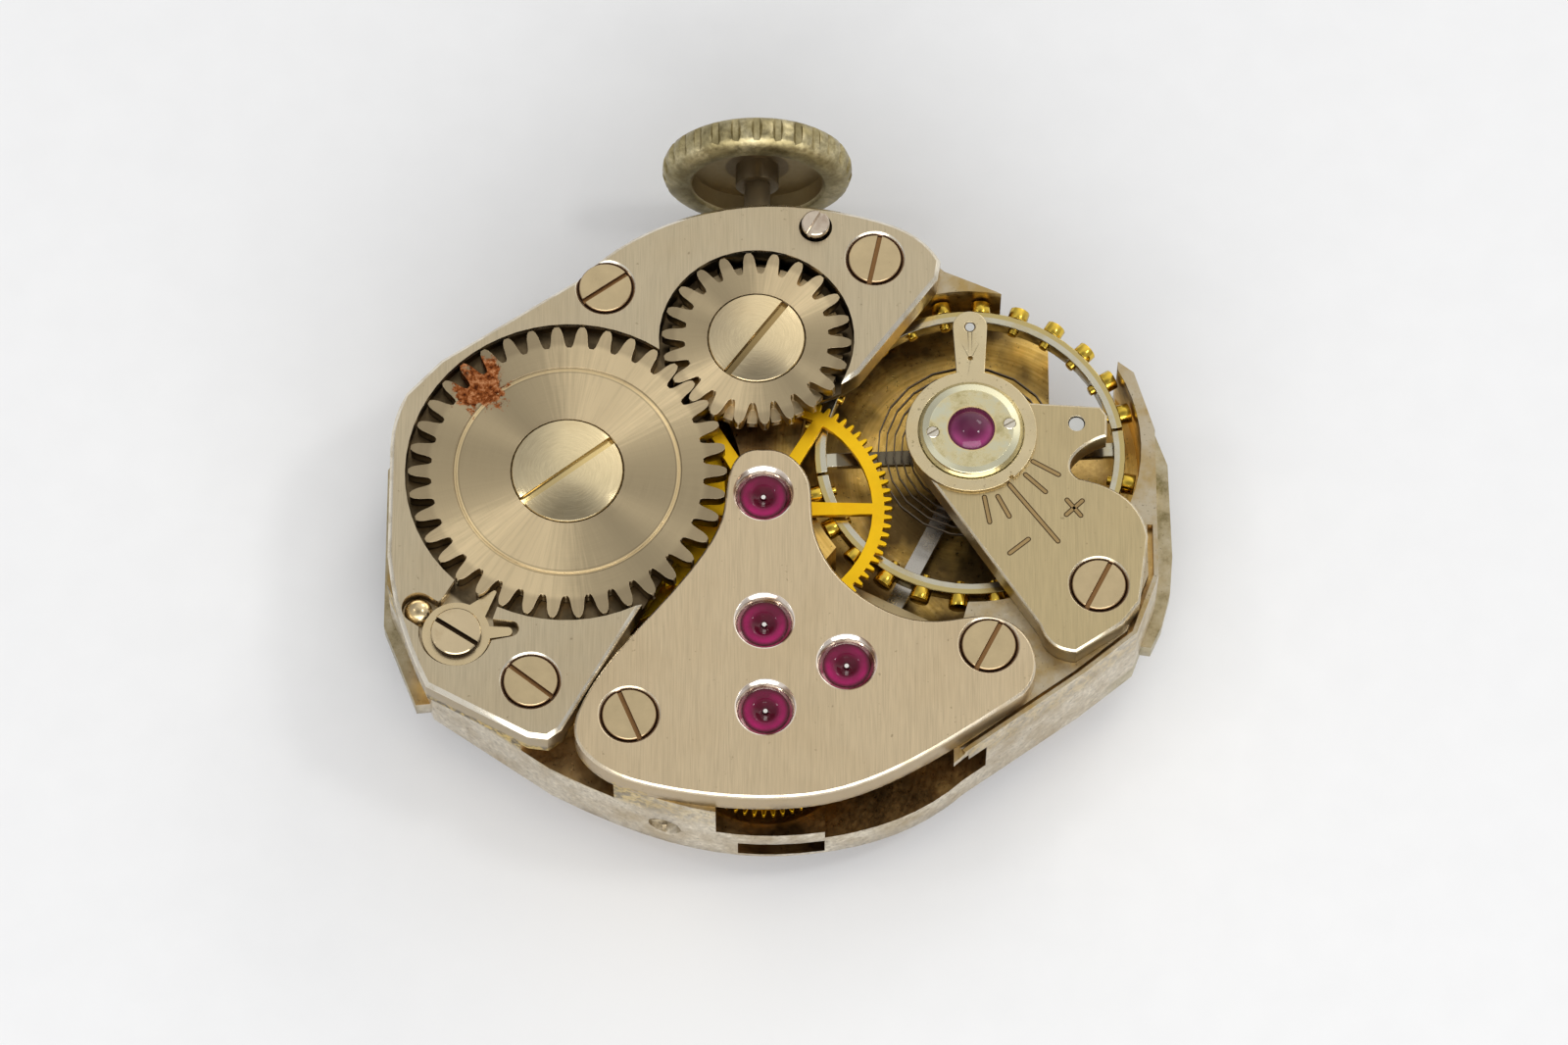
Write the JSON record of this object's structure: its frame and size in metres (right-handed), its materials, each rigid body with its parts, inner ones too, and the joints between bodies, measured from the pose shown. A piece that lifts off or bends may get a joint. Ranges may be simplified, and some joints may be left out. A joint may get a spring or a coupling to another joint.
{
  "type": "watch movement",
  "caption": "Small shaped hand-wound watch movement with going train, lever escapement, winding and setting works.",
  "frame": {"origin": "on the centre wheel's axis, at the plate's dial seat", "axes": "+Z from the dial side to the bridges, +Y out along the winding stem to the crown, +X to the balance"},
  "size_m": [0.0179, 0.0169, 0.0046],
  "materials": {
    "plate_nickel": "nickel plated, fine matt brushing, aged",
    "bridge_nickel": "nickel plated, fine vertical brushing",
    "winding_steel": "circular brushed",
    "screw_steel": "polished",
    "lever_steel": "polished flats",
    "pinion_steel": "burnished",
    "gilt_brass": "gilt",
    "balance_brass": "brass, turned",
    "balance_nickel": "nickel plated, polished edges",
    "spring_steel": "tempered",
    "ruby": "polished synthetic ruby",
    "crown_brass": "worn, tarnished olive brown"
  },
  "bodies": {
    "plate": {"main_plate": "plate_nickel", "barrel_bridge": "bridge_nickel", "train_bridge": "bridge_nickel", "balance_cock": "bridge_nickel", "pallet_cock": "bridge_nickel", "crown_wheel_seat": "winding_steel", "crown_wheel_screw": "screw_steel", "click_screw": "screw_steel", "click_spring": "lever_steel", "hairspring_stud": "gilt_brass", "endpiece_setting": "balance_nickel", "cap_jewel": "ruby", "endpiece_screws": "screw_steel", "bridge_jewels": "ruby", "cock_jewel": "ruby", "plate_jewels": "ruby", "yoke_pin": "screw_steel", "keyless_cover": "lever_steel", "motion_studs": "screw_steel", "bridge_screws": "screw_steel", "dial_screw": "screw_steel"},
    "stem": {"winding_stem": "lever_steel", "crown": "crown_brass"},
    "clutch": {"sliding_pinion": "lever_steel"},
    "winding_pinion": {"winding_pinion": "lever_steel"},
    "crown_wheel": {"crown_wheel": "winding_steel"},
    "ratchet": {"ratchet_wheel": "winding_steel", "ratchet_wheel_screw": "screw_steel", "barrel_arbor": "pinion_steel"},
    "barrel": {"barrel_drum": "gilt_brass", "barrel_cover": "gilt_brass", "mainspring": "spring_steel"},
    "centre": {"centre_wheel": "gilt_brass", "centre_pinion": "pinion_steel"},
    "third": {"third_wheel": "gilt_brass", "third_pinion": "pinion_steel"},
    "fourth": {"fourth_wheel": "gilt_brass", "fourth_pinion": "pinion_steel"},
    "escape": {"escape_wheel": "pinion_steel", "escape_pinion": "pinion_steel"},
    "pallets": {"pallet_fork": "lever_steel", "pallet_stones": "ruby", "pallet_staff": "pinion_steel"},
    "balance": {"balance_wheel": "balance_nickel", "balance_screws": "balance_brass", "balance_staff": "pinion_steel", "balance_roller": "gilt_brass", "impulse_pin": "ruby", "hairspring_collet": "gilt_brass", "hairspring": "spring_steel"},
    "regulator": {"regulator": "lever_steel"},
    "click": {"click": "lever_steel"},
    "setting_lever": {"setting_lever": "lever_steel", "setting_lever_screw": "screw_steel", "setting_lever_stud": "lever_steel"},
    "yoke": {"yoke": "lever_steel"},
    "cannon": {"cannon_pinion": "pinion_steel"},
    "minute": {"minute_wheel": "gilt_brass"},
    "hour": {"hour_wheel": "gilt_brass"},
    "setting": {"setting_wheel": "gilt_brass"}
  },
  "joints": [
    {"name": "crown_turn", "type": "hinge", "parent": "plate", "child": "winding_pinion", "pos_m": [-0.00016, 0.006, 0.0014], "axis": [0, 1, 0], "continuous": true},
    {"name": "stem_pull", "type": "slide", "parent": "winding_pinion", "child": "stem", "axis": [0, 1, 0], "range_m": [0, 0.0004]},
    {"name": "clutch_slide", "type": "slide", "parent": "stem", "child": "clutch", "axis": [0, 1, 0], "range_m": [-0.0007, 0]},
    {"name": "crown_wheel_turn", "type": "hinge", "parent": "plate", "child": "crown_wheel", "pos_m": [-0.00016, 0.00385, 0.003], "axis": [0, 0, 1], "continuous": true},
    {"name": "ratchet_turn", "type": "hinge", "parent": "plate", "child": "ratchet", "pos_m": [-0.0044, 0.00055, 0.003], "axis": [0, 0, 1], "continuous": true},
    {"name": "setting_lever_turn", "type": "hinge", "parent": "plate", "child": "setting_lever", "pos_m": [0.00118, 0.00665, 0.0003], "axis": [0, 0, 1], "range_deg": [-18, 0]},
    {"name": "yoke_turn", "type": "hinge", "parent": "plate", "child": "yoke", "pos_m": [-0.0021, 0.0059, 0.0003], "axis": [0, 0, 1], "range_deg": [-9.5, 0]},
    {"name": "fourth_turn", "type": "hinge", "parent": "plate", "child": "fourth", "pos_m": [0.00005, -0.00518, 0.0015], "axis": [0, 0, 1], "continuous": true},
    {"name": "third_turn", "type": "hinge", "parent": "plate", "child": "third", "pos_m": [0.00002, -0.0031, 0.0018], "axis": [0, 0, 1], "continuous": true},
    {"name": "centre_turn", "type": "hinge", "parent": "plate", "child": "centre", "pos_m": [0, 0, 0.0022], "axis": [0, 0, 1], "continuous": true},
    {"name": "barrel_turn", "type": "hinge", "parent": "plate", "child": "barrel", "pos_m": [-0.0044, 0.00055, 0.0009], "axis": [0, 0, 1], "continuous": true},
    {"name": "escape_turn", "type": "hinge", "parent": "plate", "child": "escape", "pos_m": [0.00185, -0.0041, 0.0012], "axis": [0, 0, 1], "continuous": true},
    {"name": "cannon_turn", "type": "hinge", "parent": "plate", "child": "cannon", "pos_m": [0, 0, -0.0006], "axis": [0, 0, 1], "continuous": true},
    {"name": "minute_turn", "type": "hinge", "parent": "plate", "child": "minute", "pos_m": [0.00112, 0.00156, 0.0003], "axis": [0, 0, 1], "continuous": true},
    {"name": "hour_turn", "type": "hinge", "parent": "plate", "child": "hour", "pos_m": [0, 0, 0.0001], "axis": [0, 0, 1], "continuous": true},
    {"name": "setting_turn", "type": "hinge", "parent": "plate", "child": "setting", "pos_m": [-0.00016, 0.0032, 0.0003], "axis": [0, 0, 1], "continuous": true},
    {"name": "pallet_rock", "type": "hinge", "parent": "plate", "child": "pallets", "pos_m": [0.00269, -0.00243, 0.0012], "axis": [0, 0, 1], "range_deg": [-6, 6]},
    {"name": "balance_swing", "type": "hinge", "parent": "plate", "child": "balance", "pos_m": [0.00467, 0.00153, 0.0017], "axis": [0, 0, 1], "range_deg": [-270, 270], "deforming": ["hairspring"]},
    {"name": "regulator_turn", "type": "hinge", "parent": "plate", "child": "regulator", "pos_m": [0.00467, 0.00153, 0.0031], "axis": [0, 0, 1], "range_deg": [-20, 20]},
    {"name": "click_rock", "type": "hinge", "parent": "plate", "child": "click", "pos_m": [-0.00682, -0.00336, 0.0029], "axis": [0, 0, 1], "range_deg": [-10, 0]}
  ],
  "couplings": [
    {"joint": "clutch_slide", "follows": "stem_pull", "ratio": -1.75},
    {"joint": "setting_lever_turn", "follows": "stem_pull", "rad_per_m": -750.49},
    {"joint": "yoke_turn", "follows": "stem_pull", "rad_per_m": -386.59},
    {"joint": "crown_wheel_turn", "follows": "crown_turn", "ratio": -0.5},
    {"joint": "ratchet_turn", "follows": "crown_turn", "ratio": 0.28947},
    {"joint": "third_turn", "follows": "fourth_turn", "ratio": -0.13333},
    {"joint": "centre_turn", "follows": "fourth_turn", "ratio": 0.013333},
    {"joint": "barrel_turn", "follows": "fourth_turn", "ratio": -0.0022222},
    {"joint": "escape_turn", "follows": "fourth_turn", "ratio": -8},
    {"joint": "cannon_turn", "follows": "fourth_turn", "ratio": 0.013333},
    {"joint": "minute_turn", "follows": "fourth_turn", "ratio": -0.0044444},
    {"joint": "hour_turn", "follows": "fourth_turn", "ratio": 0.0011111},
    {"joint": "setting_turn", "follows": "fourth_turn", "ratio": 0.01}
  ]
}
